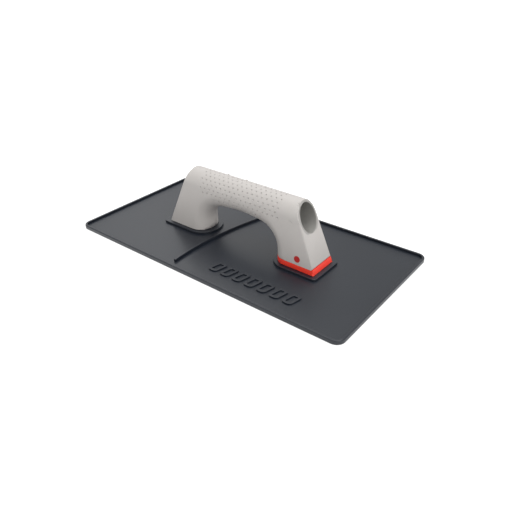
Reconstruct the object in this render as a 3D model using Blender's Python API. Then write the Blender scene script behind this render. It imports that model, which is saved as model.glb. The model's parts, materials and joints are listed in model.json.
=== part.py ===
"""Hand float for plastering and masonry: a moulded plate, a hollow bridge handle and its fixings.

Units are metres, +Z is up. The origin is the centre of the flat working face, on the
ground. +X runs along the plate towards the foot that stands on the coloured spacer.
"""
from math import atan2, cos, pi, radians, sin, sqrt, tan

import bmesh
import bpy
from mathutils import Matrix, Vector

MM = 0.001
FIT_GAP = 0.3 * MM              # space left between neighbouring pieces
TINY = 1e-6
SMOOTH_ANGLE = radians(32)      # edges gentler than this are shaded smooth

# Plate
PLATE_LENGTH = 300 * MM
PLATE_WIDTH = 150 * MM
PLATE_CORNER = 8 * MM
FLOOR_THICKNESS = 1.8 * MM
RIM_HEIGHT = 4.0 * MM
RIM_WIDTH = 2.2 * MM
ROOT_DEPTH = 1.0 * MM           # how far raised details are sunk into the floor they stand on
CORNER_STEPS = 6

# Raised pads under the two feet
PAD_TOP = 4.0 * MM
PAD_SIDE_MARGIN = 3.6 * MM
PAD_END_MARGIN = {-1: 6.0 * MM, 1: 4.0 * MM}     # rear pad and front pad
PAD_CORNER = 3.5 * MM

# Curved rib across the plate
RIB_RADIUS = 290 * MM
RIB_APEX_X = -27.1 * MM
RIB_CENTRE_Y = -38 * MM
RIB_END_Y = (-66.5 * MM, 66.5 * MM)
RIB_WIDTH = 1.8 * MM
RIB_TOP = 4.5 * MM
RIB_STEPS = 16

# Row of raised slanted frames beside the handle
FRAME_COUNT = 7
FRAME_FIRST_X = 11.5 * MM
FRAME_PITCH = 13.2 * MM
FRAME_CENTRE_Y = -50.5 * MM
FRAME_WIDTH = 9.6 * MM
FRAME_LENGTH = 14.5 * MM
FRAME_STROKE = 2.6 * MM
FRAME_CORNER = 3.2 * MM
FRAME_CORNER_STEPS = 3
FRAME_SLANT = 3.2 * MM          # sideways lean from one end of a frame to the other
FRAME_TOP = FLOOR_THICKNESS + 1.2 * MM

# Handle
HANDLE_X = 1.8 * MM             # centre of the handle, measured from the plate's centre
HANDLE_TOP = 63.5 * MM
GRIP_HALF_WIDTH = 12.5 * MM
GRIP_HALF_HEIGHT = 15.0 * MM
ARCH_CROWN_Z = 34.6 * MM        # underside of the grip at its middle
ARCH_RADIUS = 150 * MM          # gentle arch under the grip
ARCH_CORNER_RADIUS = 19.5 * MM  # round corner between the grip and a leg
NOSE_X = 41.5 * MM              # inner face of a leg, measured from the handle's centre
NOSE_DEPTH = 12.5 * MM          # how far back the round inner face of a leg reaches
FOOT_HALF_WIDTH = 15.5 * MM
FOOT_HALF_LENGTH = 86.2 * MM    # outer end of a foot at the pad, from the handle's centre
END_SLANT = {-1: radians(24), 1: radians(21)}   # lean of the flat rear and front ends
END_OVERRUN = 14 * MM           # the loft runs this far past the ends, which are then cut flat
END_CLOSING = 8.4 * MM          # stretch beyond the cut in which the loft closes
GRIP_RINGS = 8
CORNER_RINGS = 18
LEG_RINGS = 4
SIDE_STEPS = 20
BORE_HALF_WIDTH = 10.2 * MM
BORE_HALF_HEIGHT = 12.5 * MM
BORE_STEPS = 40

# Hollow in each foot, with two screw bosses
HOLLOW_TOP = 29 * MM
HOLLOW_INNER_X = (45.0 * MM, 47.0 * MM)     # inner end, at the bottom and at the top
HOLLOW_OUTER_X = (82.0 * MM, 70.5 * MM)     # outer end, at the bottom and at the top
HOLLOW_HALF_WIDTH = (12.6 * MM, 10.6 * MM)
HOLLOW_CORNER = 5 * MM
BOSS_RADIUS = 5.2 * MM
BOSS_X = (54.5 * MM, 73.0 * MM)
BOSS_OVERRUN = 3 * MM           # boss cores reach further than the hollow that they stand in

# Coloured spacer under the +X foot
SPACER_HEIGHT = 4.6 * MM
OUTLINE_STEPS = 18

# Countersunk machine screws and their threaded inserts
SCREW_RADIUS = 2.5 * MM
SCREW_HEAD_RADIUS = 4.6 * MM
SCREW_HEAD_DEPTH = 2.3 * MM
SCREW_HEAD_RIM = 0.3 * MM
SCREW_SUNK = 0.3 * MM
SCREW_REACH = 9.5 * MM          # screw inside the boss
SCREW_TIP_CHAMFER = 0.6 * MM
SCREW_STEPS = 24
RECESS_DEPTH = 1.5 * MM
RECESS_LENGTH = 4.6 * MM
RECESS_WIDTH = 1.1 * MM
INSERT_RADIUS = 3.6 * MM
INSERT_LENGTH = 9 * MM
INSERT_FLANGE_RADIUS = 4.3 * MM
INSERT_FLANGE_HEIGHT = 0.8 * MM
OVERCUT = 1 * MM                # cutters run this far past the faces they open

# Colours: red, green, blue, roughness, metallic
FINISHES = {
    "black_plastic": (0.045, 0.047, 0.050, 0.42, 0.0),
    "grey_plastic": (0.56, 0.55, 0.53, 0.50, 0.0),
    "red_plastic": (0.62, 0.035, 0.015, 0.38, 0.0),
    "zinc_steel": (0.60, 0.61, 0.62, 0.32, 1.0),
    "brass": (0.72, 0.52, 0.22, 0.30, 1.0),
}


def clear_scene():
    for old in list(bpy.data.objects):
        bpy.data.objects.remove(old, do_unlink=True)


def finish(name):
    red, green, blue, roughness, metallic = FINISHES[name]
    material = bpy.data.materials.new(name)
    material.use_nodes = True
    shader = material.node_tree.nodes["Principled BSDF"]
    shader.inputs["Base Color"].default_value = (red, green, blue, 1)
    shader.inputs["Roughness"].default_value = roughness
    shader.inputs["Metallic"].default_value = metallic
    return material


def add_object(name, mesh_builder, material=None):
    mesh = bpy.data.meshes.new(name)
    bmesh.ops.recalc_face_normals(mesh_builder, faces=mesh_builder.faces)
    mesh_builder.to_mesh(mesh)
    mesh_builder.free()
    thing = bpy.data.objects.new(name, mesh)
    bpy.context.scene.collection.objects.link(thing)
    if material:
        mesh.materials.append(material)
    return thing


def shade_round(thing):
    thing.data.shade_smooth()
    thing.data.set_sharp_from_angle(angle=SMOOTH_ANGLE)


def loft(rings):
    """Closed skin over rings of equal length, with a flat cap on the first and the last."""
    build = bmesh.new()
    loops = [[build.verts.new(point) for point in ring] for ring in rings]
    count = len(loops[0])
    for lower, upper in zip(loops, loops[1:]):
        for i in range(count):
            j = (i + 1) % count
            build.faces.new((lower[i], lower[j], upper[j], upper[i]))
    build.faces.new(loops[0])
    build.faces.new(loops[-1])
    return build


def prism(outline, bottom, top):
    return loft([[(x, y, z) for x, y in outline] for z in (bottom, top)])


def guide(mesh_builder):
    """A helper shape for a Boolean, left out of the finished object."""
    helper = add_object("guide", mesh_builder)
    helper.hide_render = True
    helper.display_type = "WIRE"
    return helper


def boolean(thing, helper, operation):
    step = thing.modifiers.new(operation.lower(), "BOOLEAN")
    step.operation = operation
    step.object = helper
    return step


def rounded_rectangle(centre, length, width, radius, steps=CORNER_STEPS):
    points = []
    for sign_x, sign_y, start in ((1, 1, 0), (-1, 1, 0.5 * pi), (-1, -1, pi), (1, -1, 1.5 * pi)):
        for i in range(steps + 1):
            angle = start + 0.5 * pi * i / steps
            points.append((centre[0] + sign_x * (0.5 * length - radius) + radius * cos(angle),
                           centre[1] + sign_y * (0.5 * width - radius) + radius * sin(angle)))
    return points


def circle(centre, radius, steps=SCREW_STEPS):
    return [(centre[0] + radius * cos(2 * pi * i / steps), centre[1] + radius * sin(2 * pi * i / steps))
            for i in range(steps)]


def end_face_x(side, z):
    """Distance of a slanted end face from the handle's centre, at a height."""
    return FOOT_HALF_LENGTH - (z - PAD_TOP) * tan(END_SLANT[side])


def foot_outline(side, z, side_margin=0.0, end_margin=0.0, corner=0.0):
    """Plan of a foot: flat outer end, straight sides and a round inner end."""
    outer = end_face_x(side, z) + end_margin
    half_width = side_half_width(z) + side_margin
    inner = NOSE_X - end_margin
    back = NOSE_X + NOSE_DEPTH
    points = []
    for i in range(OUTLINE_STEPS + 1):
        angle = 0.5 * pi + pi * i / OUTLINE_STEPS
        points.append((back + (back - inner) * cos(angle), half_width * sin(angle)))
    for sign_y, start in ((-1, 1.5 * pi), (1, 0.0)):
        steps = CORNER_STEPS if corner else 0
        for i in range(steps + 1):
            angle = start + (0.5 * pi * i / steps if corner else 0)
            points.append((outer - corner + corner * cos(angle),
                           sign_y * (half_width - corner) + corner * sin(angle)))
    return [(HANDLE_X + side * x, y) for x, y in points]


def side_half_width(z):
    """Half width of the handle at a height: an oval grip above legs that flare to the feet."""
    middle = HANDLE_TOP - GRIP_HALF_HEIGHT
    if z < middle:
        return GRIP_HALF_WIDTH + (FOOT_HALF_WIDTH - GRIP_HALF_WIDTH) * (middle - z) / (middle - PAD_TOP)
    return GRIP_HALF_WIDTH * sqrt(max(0.0, 1 - ((z - middle) / GRIP_HALF_HEIGHT) ** 2))


def arch_frames(foot_bottom):
    """Points (x, z) and outward angles along the underside, from mid-grip down to a foot."""
    crown_centre_z = ARCH_CROWN_Z - ARCH_RADIUS
    corner_x = NOSE_X - ARCH_CORNER_RADIUS
    corner_z = crown_centre_z + sqrt((ARCH_RADIUS - ARCH_CORNER_RADIUS) ** 2 - corner_x ** 2)
    meeting = atan2(corner_x, corner_z - crown_centre_z)
    frames = []
    for i in range(GRIP_RINGS):
        angle = meeting * i / GRIP_RINGS
        frames.append((ARCH_RADIUS * sin(angle), crown_centre_z + ARCH_RADIUS * cos(angle), angle))
    for i in range(CORNER_RINGS + 1):
        angle = meeting + (0.5 * pi - meeting) * i / CORNER_RINGS
        frames.append((corner_x + ARCH_CORNER_RADIUS * sin(angle),
                       corner_z + ARCH_CORNER_RADIUS * cos(angle), angle))
    for i in range(1, LEG_RINGS + 1):
        z = corner_z + (foot_bottom - corner_z) * i / LEG_RINGS
        frames.append((NOSE_X, z, 0.5 * pi))
    return frames


def handle_ring(x, z, angle, side):
    """Section of the handle across its arch, in the plane that leans by angle."""
    out_x = sin(angle)
    out_z = cos(angle)
    slope = tan(END_SLANT[side])
    to_end = (end_face_x(side, z) + END_OVERRUN - x) / (out_x + slope * out_z)
    to_top = (HANDLE_TOP - z) / out_z if out_z > TINY else to_end
    reach = min(to_end, to_top)
    leg_share = sin(angle)
    depth = GRIP_HALF_HEIGHT + (NOSE_DEPTH - GRIP_HALF_HEIGHT) * leg_share
    half = []
    for i in range(SIDE_STEPS + 1):
        along = reach * 0.5 * (1 - cos(pi * i / SIDE_STEPS))
        inner = min(1.0, along / depth)
        outer = min(1.0, (to_end - along) / END_CLOSING)
        width = side_half_width(z + along * out_z)
        width *= sqrt(max(0.0, 1 - (1 - inner) ** 2)) * sqrt(max(0.0, 1 - (1 - outer) ** 2))
        half.append((x + along * out_x, width, z + along * out_z))
    ring = half + [(px, -width, pz) for px, width, pz in reversed(half[1:-1])]
    return [(HANDLE_X + side * px, py, pz) for px, py, pz in ring]


def cut_flat(build, side):
    """Cut the handle off at its slanted end face and close it with one flat face."""
    normal = Vector((side * cos(END_SLANT[side]), 0, sin(END_SLANT[side])))
    point = Vector((HANDLE_X + side * FOOT_HALF_LENGTH, 0, PAD_TOP))
    cut = bmesh.ops.bisect_plane(build, geom=build.verts[:] + build.edges[:] + build.faces[:],
                                 plane_co=point, plane_no=normal, clear_outer=True, dist=0.1 * TINY)
    edges = [item for item in cut["geom_cut"] if isinstance(item, bmesh.types.BMEdge)]
    bmesh.ops.edgeloop_fill(build, edges=edges)


def foot_hollow(side, bottom):
    """Tapered hollow under a foot, open below, that leaves two screw bosses standing."""
    rings = []
    for level, z in ((0, bottom - OVERCUT), (1, HOLLOW_TOP)):
        inner = HOLLOW_INNER_X[level]
        outer = HOLLOW_OUTER_X[level]
        centre = (HANDLE_X + side * 0.5 * (inner + outer), 0)
        outline = rounded_rectangle(centre, outer - inner, 2 * HOLLOW_HALF_WIDTH[level], HOLLOW_CORNER)
        rings.append([(x, y, z) for x, y in outline])
    hollow = guide(loft(rings))
    for x in BOSS_X:
        boss = guide(prism(circle((HANDLE_X + side * x, 0), BOSS_RADIUS), bottom - BOSS_OVERRUN,
                           HOLLOW_TOP + OVERCUT))
        boolean(hollow, boss, "DIFFERENCE")
    return hollow


def handle(foot_bottoms):
    rings = []
    for side in (-1, 1):
        frames = arch_frames(foot_bottoms[side])
        rows = [handle_ring(x, z, angle, side) for x, z, angle in frames]
        rings += list(reversed(rows)) if side < 0 else rows[1:]
    build = loft(rings)
    for side in (-1, 1):
        cut_flat(build, side)
    body = add_object("handle", build, finish("grey_plastic"))
    middle = HANDLE_TOP - GRIP_HALF_HEIGHT
    bore = [[(HANDLE_X + x, BORE_HALF_WIDTH * cos(2 * pi * i / BORE_STEPS),
              middle + BORE_HALF_HEIGHT * sin(2 * pi * i / BORE_STEPS)) for i in range(BORE_STEPS)]
            for x in (-FOOT_HALF_LENGTH, FOOT_HALF_LENGTH)]
    boolean(body, guide(loft(bore)), "DIFFERENCE")
    for side in (-1, 1):
        bottom = foot_bottoms[side]
        boolean(body, foot_hollow(side, bottom), "DIFFERENCE")
        for x in BOSS_X:
            centre = (HANDLE_X + side * x, 0)
            pocket = guide(prism(circle(centre, INSERT_RADIUS + FIT_GAP), bottom - OVERCUT,
                                 bottom + SCREW_REACH + 2 * FIT_GAP))
            boolean(body, pocket, "DIFFERENCE")
            seat = guide(prism(circle(centre, INSERT_FLANGE_RADIUS + FIT_GAP), bottom - OVERCUT,
                               bottom + INSERT_FLANGE_HEIGHT + 2 * FIT_GAP))
            boolean(body, seat, "DIFFERENCE")
    shade_round(body)
    return body


def slanted_frame(centre_x, inset):
    """Outline of one raised frame, leaning like the strokes of a hatch."""
    outline = rounded_rectangle((0, 0), FRAME_WIDTH - 2 * inset, FRAME_LENGTH - 2 * inset,
                                FRAME_CORNER - inset, FRAME_CORNER_STEPS)
    return [(centre_x + x + y * FRAME_SLANT / FRAME_LENGTH, FRAME_CENTRE_Y + y) for x, y in outline]


def curved_rib():
    """Plan of the rib: a thin band along an arc that bulges towards -X."""
    centre_x = RIB_APEX_X + RIB_RADIUS
    sides = []
    for offset in (0.5 * RIB_WIDTH, -0.5 * RIB_WIDTH):
        radius = RIB_RADIUS + offset
        side = []
        for i in range(RIB_STEPS + 1):
            y = RIB_END_Y[0] + (RIB_END_Y[1] - RIB_END_Y[0]) * i / RIB_STEPS
            angle = atan2(y - RIB_CENTRE_Y, sqrt(RIB_RADIUS ** 2 - (y - RIB_CENTRE_Y) ** 2))
            side.append((centre_x - radius * cos(angle), RIB_CENTRE_Y + radius * sin(angle)))
        sides.append(side)
    return sides[0] + sides[1][::-1]


def countersink(centre):
    """Cutter for one screw: a cone for the head below and a clearance hole above."""
    wide = SCREW_HEAD_RADIUS + FIT_GAP
    narrow = SCREW_RADIUS + FIT_GAP
    profile = ((wide, -OVERCUT), (wide, SCREW_SUNK + SCREW_HEAD_RIM),
               (narrow, SCREW_SUNK + SCREW_HEAD_DEPTH + FIT_GAP), (narrow, PAD_TOP + OVERCUT))
    return guide(loft([[(x, y, z) for x, y in circle(centre, radius)] for radius, z in profile]))


def float_plate():
    outline = rounded_rectangle((0, 0), PLATE_LENGTH, PLATE_WIDTH, PLATE_CORNER)
    plate = add_object("float_plate", prism(outline, 0, RIM_HEIGHT), finish("black_plastic"))
    tray = rounded_rectangle((0, 0), PLATE_LENGTH - 2 * RIM_WIDTH, PLATE_WIDTH - 2 * RIM_WIDTH,
                             PLATE_CORNER - RIM_WIDTH)
    boolean(plate, guide(prism(tray, FLOOR_THICKNESS, RIM_HEIGHT + OVERCUT)), "DIFFERENCE")
    root = FLOOR_THICKNESS - ROOT_DEPTH
    boolean(plate, guide(prism(curved_rib(), root, RIB_TOP)), "UNION")
    for side in (-1, 1):
        pad = foot_outline(side, PAD_TOP, PAD_SIDE_MARGIN, PAD_END_MARGIN[side], PAD_CORNER)
        boolean(plate, guide(prism(pad, root, PAD_TOP)), "UNION")
    for i in range(FRAME_COUNT):
        centre_x = FRAME_FIRST_X + i * FRAME_PITCH
        frame = guide(prism(slanted_frame(centre_x, 0), root, FRAME_TOP))
        window = slanted_frame(centre_x, FRAME_STROKE)
        boolean(frame, guide(prism(window, root - OVERCUT, FRAME_TOP + OVERCUT)), "DIFFERENCE")
        boolean(plate, frame, "UNION")
    for side in (-1, 1):
        for x in BOSS_X:
            boolean(plate, countersink((HANDLE_X + side * x, 0)), "DIFFERENCE")
    return plate


def foot_spacer(bottom, top):
    """Coloured spacer between the +X foot and its pad, flush with the foot all round."""
    rings = [[(x, y, z) for x, y in foot_outline(1, z)] for z in (bottom, top)]
    spacer = add_object("foot_spacer", loft(rings), finish("red_plastic"))
    for x in BOSS_X:
        hole = circle((HANDLE_X + x, 0), SCREW_RADIUS + FIT_GAP)
        boolean(spacer, guide(prism(hole, bottom - OVERCUT, top + OVERCUT)), "DIFFERENCE")
    shade_round(spacer)
    return spacer


def screw(name, centre, tip):
    profile = ((SCREW_HEAD_RADIUS, SCREW_SUNK), (SCREW_HEAD_RADIUS, SCREW_SUNK + SCREW_HEAD_RIM),
               (SCREW_RADIUS, SCREW_SUNK + SCREW_HEAD_DEPTH), (SCREW_RADIUS, tip - SCREW_TIP_CHAMFER),
               (SCREW_RADIUS - SCREW_TIP_CHAMFER, tip))
    body = add_object(name, loft([[(x, y, z) for x, y in circle((0, 0), radius)] for radius, z in profile]),
                      finish("zinc_steel"))
    body.location = (centre[0], centre[1], 0)
    recess = bmesh.new()
    for size in ((RECESS_LENGTH, RECESS_WIDTH), (RECESS_WIDTH, RECESS_LENGTH)):
        slot = Matrix.Diagonal((size[0], size[1], 2 * RECESS_DEPTH, 1))
        arm = bmesh.ops.create_cube(recess, size=1, matrix=slot)
        bmesh.ops.translate(recess, verts=arm["verts"], vec=(centre[0], centre[1], SCREW_SUNK))
    cross = guide(recess)
    step = boolean(body, cross, "DIFFERENCE")
    step.use_self = True
    shade_round(body)
    return body


def threaded_insert(name, centre, bottom):
    """Flanged brass sleeve pressed into a boss from below."""
    bore = SCREW_RADIUS + FIT_GAP
    profile = ((INSERT_FLANGE_RADIUS, bottom), (INSERT_FLANGE_RADIUS, bottom + INSERT_FLANGE_HEIGHT),
               (INSERT_RADIUS, bottom + INSERT_FLANGE_HEIGHT), (INSERT_RADIUS, bottom + INSERT_LENGTH),
               (bore, bottom + INSERT_LENGTH), (bore, bottom))
    build = bmesh.new()
    loops = [[build.verts.new((x, y, z)) for x, y in circle(centre, radius)] for radius, z in profile]
    for lower, upper in zip(loops, loops[1:] + loops[:1]):
        for i in range(SCREW_STEPS):
            j = (i + 1) % SCREW_STEPS
            build.faces.new((lower[i], lower[j], upper[j], upper[i]))
    sleeve = add_object(name, build, finish("brass"))
    shade_round(sleeve)
    return sleeve


def main():
    clear_scene()
    spacer_bottom = PAD_TOP + FIT_GAP
    spacer_top = spacer_bottom + SPACER_HEIGHT
    foot_bottoms = {-1: PAD_TOP + FIT_GAP, 1: spacer_top + FIT_GAP}
    float_plate()
    handle(foot_bottoms)
    foot_spacer(spacer_bottom, spacer_top)
    for side, end in ((-1, "rear"), (1, "front")):
        for x, place in zip(BOSS_X, ("inner", "outer")):
            centre = (HANDLE_X + side * x, 0)
            bottom = foot_bottoms[side]
            screw(f"screw_{end}_{place}", centre, bottom + SCREW_REACH)
            threaded_insert(f"insert_{end}_{place}", centre, bottom + FIT_GAP)


main()
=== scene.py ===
"""Looks of the hand float: moulded plastics, rounded edges, a dimpled grip and a pale studio."""
import json
from math import cos, hypot, pi, radians, sin

import bmesh
import bpy
from mathutils import Matrix, Vector

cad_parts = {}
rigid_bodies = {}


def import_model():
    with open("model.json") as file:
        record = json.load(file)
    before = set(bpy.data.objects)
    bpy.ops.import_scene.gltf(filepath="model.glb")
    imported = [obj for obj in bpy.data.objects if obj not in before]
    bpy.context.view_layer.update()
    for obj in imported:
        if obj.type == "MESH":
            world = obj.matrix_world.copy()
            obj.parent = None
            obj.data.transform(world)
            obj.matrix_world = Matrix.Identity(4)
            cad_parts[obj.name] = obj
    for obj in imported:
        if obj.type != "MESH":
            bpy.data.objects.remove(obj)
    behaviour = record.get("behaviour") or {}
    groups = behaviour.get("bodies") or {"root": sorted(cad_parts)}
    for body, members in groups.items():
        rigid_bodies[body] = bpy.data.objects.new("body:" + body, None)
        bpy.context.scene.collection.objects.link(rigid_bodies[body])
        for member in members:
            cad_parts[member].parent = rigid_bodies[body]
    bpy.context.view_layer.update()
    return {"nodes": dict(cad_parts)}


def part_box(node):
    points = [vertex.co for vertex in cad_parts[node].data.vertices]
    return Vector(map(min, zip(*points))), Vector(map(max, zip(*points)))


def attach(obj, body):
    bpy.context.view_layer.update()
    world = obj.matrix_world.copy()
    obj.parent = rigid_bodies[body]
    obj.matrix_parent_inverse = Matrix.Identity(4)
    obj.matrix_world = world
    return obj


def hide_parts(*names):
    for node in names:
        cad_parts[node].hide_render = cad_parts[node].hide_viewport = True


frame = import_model()
MM = 0.001

plate_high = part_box("float_plate")[1]
handle_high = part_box("handle")[1]
HANDLE_X = 0.5 * (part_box("insert_rear_inner")[0].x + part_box("insert_front_inner")[1].x)
GRIP_HALF_WIDTH = 12.5 * MM
GRIP_HALF_HEIGHT = 15 * MM
GRIP_Z = handle_high.z - GRIP_HALF_HEIGHT       # height of the grip's axis
BORE_HALF_WIDTH = 10.2 * MM
BORE_HALF_HEIGHT = 12.5 * MM
LEG_START = 47 * MM                             # a leg's flat sides begin this far from the middle
PLATE_CORNER = 8 * MM
FLOOR_Z = 1.8 * MM                              # top of the plate's floor
FRAME_Z = 3.0 * MM                              # top of the raised slanted frames
PAD_Z = 4.0 * MM                                # top of the pads and of the rim


# ---------------------------------------------------------------- modelling helpers

def select_only(*things):
    bpy.ops.object.select_all(action="DESELECT")
    for thing in things:
        thing.select_set(True)
    bpy.context.view_layer.objects.active = things[0]


def edit(thing, select="DESELECT"):
    select_only(thing)
    bpy.ops.object.mode_set(mode="EDIT")
    bpy.ops.mesh.select_all(action=select)


def leave_edit():
    bpy.ops.object.mode_set(mode="OBJECT")


def free_copy(thing, name):
    select_only(thing)
    bpy.ops.object.duplicate()
    copy = bpy.context.view_layer.objects.active
    copy.name = name
    copy.data.name = name
    return copy


def copy_of_node(node, name):
    """A free copy of a CAD node with its loose triangles joined."""
    copy = free_copy(frame["nodes"][node], name)
    copy.parent = None
    for key in list(copy.keys()):
        del copy[key]
    copy.data.materials.clear()
    edit(copy, "SELECT")
    bpy.ops.mesh.remove_doubles(threshold=0.002 * MM)
    bpy.ops.mesh.normals_make_consistent(inside=False)
    leave_edit()
    return copy


def join_flat_faces(thing, place=None):
    """Make each flat face whole, where place says."""
    edit(thing)
    bpy.ops.mesh.select_mode(type="FACE")
    build = bmesh.from_edit_mesh(thing.data)
    for face in build.faces:
        face.select_set(place is None or all(place(corner.co) for corner in face.verts))
    bmesh.update_edit_mesh(thing.data)
    bpy.ops.mesh.dissolve_limited(angle_limit=radians(0.6), delimit={"SEAM"})
    bpy.ops.mesh.select_mode(type="VERT")
    leave_edit()


def apply_modifier(thing, kind, **settings):
    select_only(thing)
    step = thing.modifiers.new(kind.lower(), kind)
    for key, value in settings.items():
        setattr(step, key, value)
    bpy.ops.object.modifier_apply(modifier=step.name)


def split_level_faces(thing, height, axis, *places):
    """Split the faces at one height where they cross the places, and keep the cuts as seams."""
    for place in places:
        edit(thing)
        bpy.ops.mesh.select_mode(type="FACE")
        build = bmesh.from_edit_mesh(thing.data)
        for face in build.faces:
            face.select_set(all(abs(corner.co.z - height) < 0.01 * MM for corner in face.verts))
        bmesh.update_edit_mesh(thing.data)
        bpy.ops.mesh.select_mode(type="EDGE")
        point = Vector()
        point[axis] = place
        normal = Vector()
        normal[axis] = 1
        bpy.ops.mesh.bisect(plane_co=point, plane_no=normal, threshold=0.001 * MM)
        bpy.ops.mesh.mark_seam()
        bpy.ops.mesh.select_mode(type="VERT")
        leave_edit()


def round_edges(thing, width_of, segments=3, angle=30):
    """Round the sharp edges in one pass; width_of says how far, from an edge's two ends."""
    widest = 1 * MM
    edit(thing)
    build = bmesh.from_edit_mesh(thing.data)
    share = build.edges.layers.float.new("bevel_weight_edge")
    for edge in build.edges:
        if edge.is_manifold and edge.calc_face_angle() > radians(angle):
            edge[share] = width_of(edge.verts[0].co, edge.verts[1].co) / widest
    bmesh.update_edit_mesh(thing.data)
    leave_edit()
    apply_modifier(thing, "BEVEL", limit_method="WEIGHT", width=widest, segments=segments,
                   use_clamp_overlap=False, miter_outer="MITER_ARC")


def shade(thing, angle=40):
    select_only(thing)
    bpy.ops.object.shade_smooth_by_angle(angle=radians(angle))


def flatten_level_faces(thing):
    """Level faces get one even shade, so that rounded edges don't colour them."""
    edit(thing)
    bpy.ops.mesh.select_mode(type="FACE")
    build = bmesh.from_edit_mesh(thing.data)
    for face in build.faces:
        face.select_set(abs(face.normal.z) > 0.9999)
    bmesh.update_edit_mesh(thing.data)
    bpy.ops.mesh.faces_shade_flat()
    bpy.ops.mesh.select_mode(type="VERT")
    leave_edit()


# ---------------------------------------------------------------- shader helpers

class Wire:
    """A node socket that adds Math nodes when it is used in an expression."""

    def __init__(self, tree, socket):
        self.tree = tree
        self.socket = socket

    def math(self, operation, other):
        node = self.tree.nodes.new("ShaderNodeMath")
        node.operation = operation
        for slot, term in zip(node.inputs, (self, other)):
            if isinstance(term, Wire):
                self.tree.links.new(term.socket, slot)
            else:
                slot.default_value = term
        return Wire(self.tree, node.outputs[0])

    def __add__(self, other):
        return self.math("ADD", other)

    __radd__ = __add__

    def __mul__(self, other):
        return self.math("MULTIPLY", other)

    __rmul__ = __mul__

    def __sub__(self, other):
        return self.math("SUBTRACT", other)

    def __pow__(self, exponent):
        return self.math("POWER", exponent)

    def ramp(self, start, end):
        """0 up to start, 1 from end on, smooth between; start may be the larger."""
        node = self.tree.nodes.new("ShaderNodeMapRange")
        node.interpolation_type = "SMOOTHSTEP"
        self.tree.links.new(self.socket, node.inputs["Value"])
        node.inputs["From Min"].default_value = start
        node.inputs["From Max"].default_value = end
        return Wire(self.tree, node.outputs[0])


class Finish:
    """A Principled material built from wires."""

    def __init__(self, name, **uniform):
        self.material = bpy.data.materials.new(name)
        self.material.use_nodes = True
        self.tree = self.material.node_tree
        self.shader = self.tree.nodes["Principled BSDF"]
        for key, value in uniform.items():
            self.shader.inputs[key.replace("_", " ")].default_value = value

    def node(self, kind, out=0, **sockets):
        node = self.tree.nodes.new(kind)
        for key, value in sockets.items():
            slot = node.inputs[key.replace("_", " ")]
            if isinstance(value, Wire):
                self.tree.links.new(value.socket, slot)
            else:
                slot.default_value = value
        return Wire(self.tree, node.outputs[out])

    def place(self):
        return self.node("ShaderNodeTexCoord", out="Object")

    def axes(self):
        split = self.tree.nodes.new("ShaderNodeSeparateXYZ")
        self.tree.links.new(self.place().socket, split.inputs[0])
        return [Wire(self.tree, out) for out in split.outputs]

    def stretched(self, x, y, z):
        """Object coordinates scaled by a factor along each axis."""
        return self.node("ShaderNodeMapping", Vector=self.place(), Scale=(x, y, z))

    def noise(self, size, detail, at=None):
        return self.node("ShaderNodeTexNoise", Vector=at or self.place(), Scale=1 / size, Detail=detail,
                         Roughness=0.5)

    def blend(self, amount, first, second):
        mix = self.tree.nodes.new("ShaderNodeMix")
        mix.data_type = "RGBA"
        for index, value in ((0, amount), (6, first), (7, second)):
            if isinstance(value, Wire):
                self.tree.links.new(value.socket, mix.inputs[index])
            else:
                mix.inputs[index].default_value = value
        return Wire(self.tree, mix.outputs[2])

    def feed(self, name, wire):
        self.tree.links.new(wire.socket, self.shader.inputs[name])

    def bump(self, height, depth, strength):
        self.feed("Normal", self.node("ShaderNodeBump", Height=height, Distance=depth, Strength=strength))


def plate_plastic():
    """Near-black moulded plastic: satin on top, rubbed along the plate on the working face."""
    paint = Finish("plate_plastic", Roughness=0.4, IOR=1.54)
    grain = paint.noise(0.5 * MM, 2.0)
    cloud = paint.noise(60 * MM, 3.0)
    rubbed = paint.noise(0.6 * MM, 3.0, at=paint.stretched(0.03, 1, 1))
    z = paint.axes()[2]
    underside = z.ramp(0.5 * MM, 0.1 * MM)
    blue_black, soft_black = (0.0045, 0.0072, 0.0125, 1), (0.0062, 0.0095, 0.0165, 1)
    paint.feed("Base Color", paint.blend(cloud, blue_black, soft_black))
    paint.feed("Roughness", 0.33 + 0.05 * cloud + 0.03 * grain + 0.12 * underside * rubbed)
    paint.bump(grain + 1.5 * underside * rubbed, 0.02 * MM, 0.5)
    return paint.material


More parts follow.
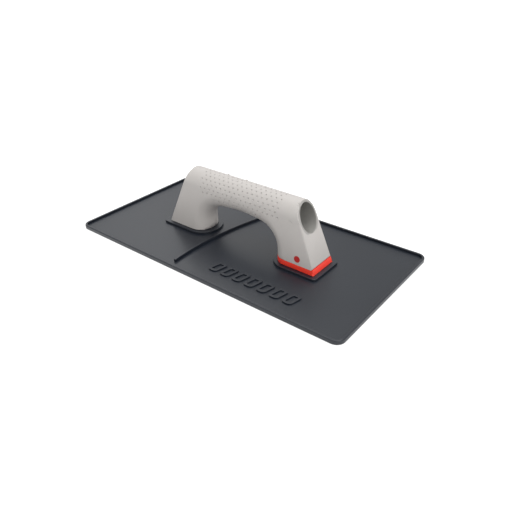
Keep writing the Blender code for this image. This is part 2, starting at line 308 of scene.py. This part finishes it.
def handle_plastic():
    """Warm light grey plastic with painted shade inside the bore and in the grip's dimples, and a small
    printed red dot.
    """
    paint = Finish("handle_plastic", Roughness=0.5, IOR=1.46)
    grain = paint.noise(0.45 * MM, 2.0)
    cloud = paint.noise(30 * MM, 2.0)
    x, y, z = paint.axes()
    # painted shade: the inside of the bore is coloured a darker grey, standing in for the shade deep in
    # the bore; the plastic there is the same grey
    across = y * (1 / BORE_HALF_WIDTH)
    upward = (z - GRIP_Z) * (1 / BORE_HALF_HEIGHT)
    inside = (across * across + upward * upward).ramp(1.12, 1.02)
    # painted shade: the sunk bottoms of the grip's dimples are coloured a darker grey, standing in for the
    # shade in these small pits
    around = (y * (1 / GRIP_HALF_WIDTH)) ** 2 + ((z - GRIP_Z) * (1 / GRIP_HALF_HEIGHT)) ** 2
    dimple_shade = around.ramp(0.965, 0.93) * z.ramp(GRIP_Z - 13 * MM, GRIP_Z - 11 * MM)
    warm_grey, pale_grey = (0.428, 0.406, 0.389, 1), (0.460, 0.437, 0.418, 1)
    dimple_shade_grey, bore_shade_grey, dot_red = (0.30, 0.29, 0.275, 1), (0.23, 0.225, 0.21, 1), (0.42, 0.02, 0.02, 1)
    clean = paint.blend(cloud, warm_grey, pale_grey)
    skin = paint.blend(dimple_shade, clean, dimple_shade_grey)
    shaded_grey = paint.blend(inside, skin, bore_shade_grey)
    dot_x, dot_z, dot_radius, dot_edge = HANDLE_X + 68.5 * MM, 14.6 * MM, 3.2 * MM, 0.25 * MM
    spread = ((x - dot_x) ** 2 + (z - dot_z) ** 2) ** 0.5
    near_side = y.ramp(-11 * MM, -12 * MM)
    dot = spread.ramp(dot_radius, dot_radius - dot_edge) * near_side
    paint.feed("Base Color", paint.blend(dot, shaded_grey, dot_red))
    paint.feed("Roughness", 0.46 + 0.08 * grain - 0.12 * dot)
    paint.bump(grain, 0.03 * MM, 0.6)
    return paint.material


def spacer_plastic():
    """Bright red plastic with a fine grain."""
    paint = Finish("spacer_plastic", Roughness=0.35, IOR=1.5)
    grain = paint.noise(0.5 * MM, 2.0)
    cloud = paint.noise(12 * MM, 2.0)
    tint = 0.6 * cloud + 0.4 * grain
    paint.feed("Base Color", paint.blend(tint, (0.74, 0.036, 0.020, 1), (0.82, 0.048, 0.026, 1)))
    paint.feed("Roughness", 0.32 + 0.07 * grain)
    paint.bump(grain, 0.02 * MM, 0.5)
    return paint.material


def metal(name, dark, light, roughness):
    """Bare metal with a light tarnish."""
    finish = Finish(name, Metallic=1.0, Roughness=roughness)
    tarnish = finish.noise(1.5 * MM, 3.0)
    finish.feed("Base Color", finish.blend(tarnish, dark, light))
    finish.feed("Roughness", roughness - 0.07 + 0.16 * tarnish)
    finish.bump(finish.noise(0.25 * MM, 2.0), 0.01 * MM, 0.4)
    return finish.material


# ---------------------------------------------------------------- pieces

def stand_for(piece, node, material):
    """Give a piece its material and put it in its CAD node's place."""
    piece.data.materials.clear()
    piece.data.materials.append(material)
    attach(piece, "root")
    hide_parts(node)


def plate_moulding():
    piece = copy_of_node("float_plate", "plate_moulding")
    raised = 0.5 * (FRAME_Z + PAD_Z)            # between the frames' tops and the pads'
    rim_round = 0.8 * MM                        # outer top edge
    heel_round = 0.4 * MM                       # outer bottom edge
    inner_round = 0.25 * MM                     # other top edges of rim, pads and rib
    frame_round = 0.12 * MM                     # top edges of the raised frames
    hole_round = 0.1 * MM                       # screw holes in the working face

    def on_outer_wall(point):
        beyond_x = max(abs(point.x) - plate_high.x + PLATE_CORNER, 0)
        beyond_y = max(abs(point.y) - plate_high.y + PLATE_CORNER, 0)
        return hypot(beyond_x, beyond_y) > PLATE_CORNER - 0.05 * MM

    def width_of(*ends):
        outside = all(on_outer_wall(point) for point in ends)
        lowest = min(point.z for point in ends)
        if lowest > raised:
            return rim_round if outside else inner_round
        if max(point.z for point in ends) < 0.1 * MM:
            return heel_round if outside else hole_round
        return frame_round if lowest > FLOOR_Z + 0.1 * MM else 0

    straight_x = plate_high.x - PLATE_CORNER
    straight_y = plate_high.y - PLATE_CORNER
    split_level_faces(piece, PAD_Z, 0, -straight_x, 0, straight_x)
    split_level_faces(piece, PAD_Z, 1, -straight_y, straight_y)
    join_flat_faces(piece)
    round_edges(piece, width_of, angle=35)
    shade(piece)
    flatten_level_faces(piece)
    stand_for(piece, "float_plate", plate_plastic())


def grip_dimples():
    """Ball cutters in staggered rows round the grip."""
    ball_radius, lift, pitch, rows = 0.85 * MM, 0.22 * MM, 5.4 * MM, 22
    long_reach, short_reach = 8, 4              # balls to each side; the rows underneath are short
    bpy.ops.object.select_all(action="DESELECT")
    bpy.ops.mesh.primitive_ico_sphere_add(subdivisions=2, radius=ball_radius)
    ball = bpy.context.view_layer.objects.active
    balls = []
    for row in range(rows):
        angle = 2 * pi * (row + 0.5) / rows
        out_y = cos(angle)
        out_z = sin(angle)
        reach = short_reach if out_z < -0.5 else long_reach
        for column in range(-reach, reach + 1):
            copy = ball.copy()
            copy.data = ball.data.copy()
            bpy.context.scene.collection.objects.link(copy)
            foot = Vector((HANDLE_X + (column + 0.5 * (row % 2)) * pitch, GRIP_HALF_WIDTH * out_y,
                           GRIP_Z + GRIP_HALF_HEIGHT * out_z))
            outward = Vector((0, out_y / GRIP_HALF_WIDTH, out_z / GRIP_HALF_HEIGHT)).normalized()
            copy.location = foot + outward * lift
            balls.append(copy)
    bpy.data.objects.remove(ball)
    select_only(*balls)
    bpy.ops.object.join()
    bpy.ops.object.transform_apply(location=True, rotation=True, scale=True)
    return bpy.context.view_layer.objects.active


def refine_skin(piece):
    """Divide the curved outer skin of the handle into small smooth faces."""
    largest_face = 40 * MM * MM
    crease = radians(30)                        # the skin ends where its faces turn more than this
    edit(piece, "SELECT")
    bpy.ops.mesh.tris_convert_to_quads(face_threshold=radians(5), shape_threshold=radians(170))
    bpy.ops.mesh.select_mode(type="FACE")
    bpy.ops.mesh.select_all(action="DESELECT")
    build = bmesh.from_edit_mesh(piece.data)
    crown = max(build.faces, key=lambda face: face.calc_center_median().z)
    crown.select_set(True)
    build.faces.active = crown
    bmesh.update_edit_mesh(piece.data)
    bpy.ops.mesh.faces_select_linked_flat(sharpness=crease)
    bpy.ops.mesh.select_less()
    build = bmesh.from_edit_mesh(piece.data)
    for face in build.faces:
        if face.select and (len(face.verts) > 4 or face.calc_area() > largest_face):
            face.select_set(False)
    bmesh.update_edit_mesh(piece.data)
    bpy.ops.mesh.subdivide(number_cuts=3, smoothness=1.0)
    bpy.ops.mesh.select_mode(type="VERT")
    leave_edit()


def handle_moulding():
    piece = copy_of_node("handle", "handle_moulding")
    end_round, bore_round = 1.1 * MM, 0.5 * MM
    end_faces = []
    for side in (-1, 1):
        face = max((face for face in piece.data.polygons if side * face.normal.x > 0.85),
                   key=lambda face: face.area)
        end_faces.append((face.center.copy(), face.normal.copy()))

    def on_end(point):
        return any(abs((point - centre).dot(normal)) < 0.01 * MM for centre, normal in end_faces)

    def on_bore(point):
        return hypot(point.y / BORE_HALF_WIDTH, (point.z - GRIP_Z) / BORE_HALF_HEIGHT) < 1.02

    def width_of(*ends):
        if not all(on_end(point) for point in ends):
            return 0
        return bore_round if all(on_bore(point) for point in ends) else end_round

    def on_leg(point):
        return abs(point.x - HANDLE_X) > LEG_START and point.z < GRIP_Z

    join_flat_faces(piece, on_end)
    join_flat_faces(piece, on_leg)
    refine_skin(piece)
    round_edges(piece, width_of, segments=4)
    cutter = grip_dimples()
    apply_modifier(piece, "BOOLEAN", operation="DIFFERENCE", object=cutter, solver="EXACT")
    bpy.data.objects.remove(cutter)
    shade(piece, 35)
    stand_for(piece, "handle", handle_plastic())


def spacer_moulding():
    piece = copy_of_node("foot_spacer", "spacer_moulding")
    corner_round, level_round = 1.0 * MM, 0.2 * MM

    def width_of(*ends):
        upright = abs(ends[0].z - ends[1].z) > 1 * MM
        return corner_round if upright else level_round

    join_flat_faces(piece)
    round_edges(piece, width_of)
    shade(piece)
    stand_for(piece, "foot_spacer", spacer_plastic())


def dress_fixings():
    steel = metal("zinc_steel", (0.55, 0.56, 0.58, 1), (0.68, 0.68, 0.66, 1), 0.31)
    brass = metal("turned_brass", (0.70, 0.50, 0.20, 1), (0.80, 0.62, 0.32, 1), 0.29)
    for name, node in frame["nodes"].items():
        if name.startswith(("screw", "insert")):
            node.data.materials.clear()
            node.data.materials.append(steel if name.startswith("screw") else brass)
            shade(node, 30)


# ---------------------------------------------------------------- studio

def studio():
    floor_gap = 0.2 * MM
    bpy.ops.object.select_all(action="DESELECT")
    bpy.ops.mesh.primitive_plane_add(size=8, location=(0, 0, -floor_gap))
    floor = bpy.context.view_layer.objects.active
    floor.name = "studio_floor"
    pale = Finish("pale_floor", Roughness=0.8)
    pale.shader.inputs["Base Color"].default_value = (0.3, 0.3, 0.3, 1)
    pale.shader.inputs["Emission Color"].default_value = (1, 1, 1, 1)
    pale.shader.inputs["Emission Strength"].default_value = 0.80
    floor.data.materials.append(pale.material)

    for name, energy, angle, towards in (("overhead_softbox", 2.05, 60, (-0.10, 0.12, 1)),
                                         ("side_softbox", 1.12, 40, (0.8, -0.3, 0.5))):
        light = bpy.data.lights.new(name, "SUN")
        light.energy = energy
        light.angle = radians(angle)
        lamp = bpy.data.objects.new(name, light)
        lamp.rotation_mode = "QUATERNION"
        lamp.rotation_quaternion = Vector(towards).to_track_quat("Z", "Y")
        bpy.context.scene.collection.objects.link(lamp)

    world = bpy.data.worlds.new("soft_white")
    bpy.context.scene.world = world
    world.use_nodes = True
    tree = world.node_tree
    direction = tree.nodes.new("ShaderNodeTexCoord").outputs["Generated"]
    towards_panel = tree.nodes.new("ShaderNodeVectorMath")
    towards_panel.operation = "DOT_PRODUCT"
    tree.links.new(direction, towards_panel.inputs[0])
    towards_panel.inputs[1].default_value = Vector((-0.625, 0.471, 0.623)).normalized()
    panel_edge, panel_core = radians(14), radians(6)
    panel = Wire(tree, towards_panel.outputs["Value"]).ramp(cos(panel_edge), cos(panel_core))
    split = tree.nodes.new("ShaderNodeSeparateXYZ")
    tree.links.new(direction, split.inputs[0])
    height = Wire(tree, split.outputs["Z"])
    even, overhead, horizon, panel_light = 0.52, 0.12, 0.52, 1.8
    strength = (even + overhead * height.ramp(0.36, 0.54) + horizon * height.ramp(0.38, 0.16)
                + panel_light * panel)
    background = tree.nodes["Background"]
    background.inputs["Color"].default_value = (1, 1, 1, 1)
    tree.links.new(strength.socket, background.inputs["Strength"])


def camera():
    """The view from the front right and above."""
    azimuth, elevation, roll = 0.6730675, 0.5481457, -0.013509
    distance = 490.515 * MM
    target = Vector((27.557, -8.1206, 0)) * MM
    back = Vector((sin(azimuth) * cos(elevation), -cos(azimuth) * cos(elevation), sin(elevation)))
    level_right = Vector((cos(azimuth), sin(azimuth), 0))
    level_up = back.cross(level_right)
    right = cos(roll) * level_right + sin(roll) * level_up
    up = -sin(roll) * level_right + cos(roll) * level_up
    view = Matrix((right, up, back)).transposed().to_4x4()
    view.translation = target + distance * back
    lens = bpy.data.cameras.new("camera")
    lens.sensor_width = 36
    lens.lens = 37.873
    lens.shift_x = -0.0143
    lens.clip_start = 0.01
    eye = bpy.data.objects.new("camera", lens)
    bpy.context.scene.collection.objects.link(eye)
    eye.matrix_world = view
    bpy.context.scene.camera = eye


plate_moulding()
handle_moulding()
spacer_moulding()
dress_fixings()
studio()
camera()
bpy.context.scene.view_settings.view_transform = "Standard"
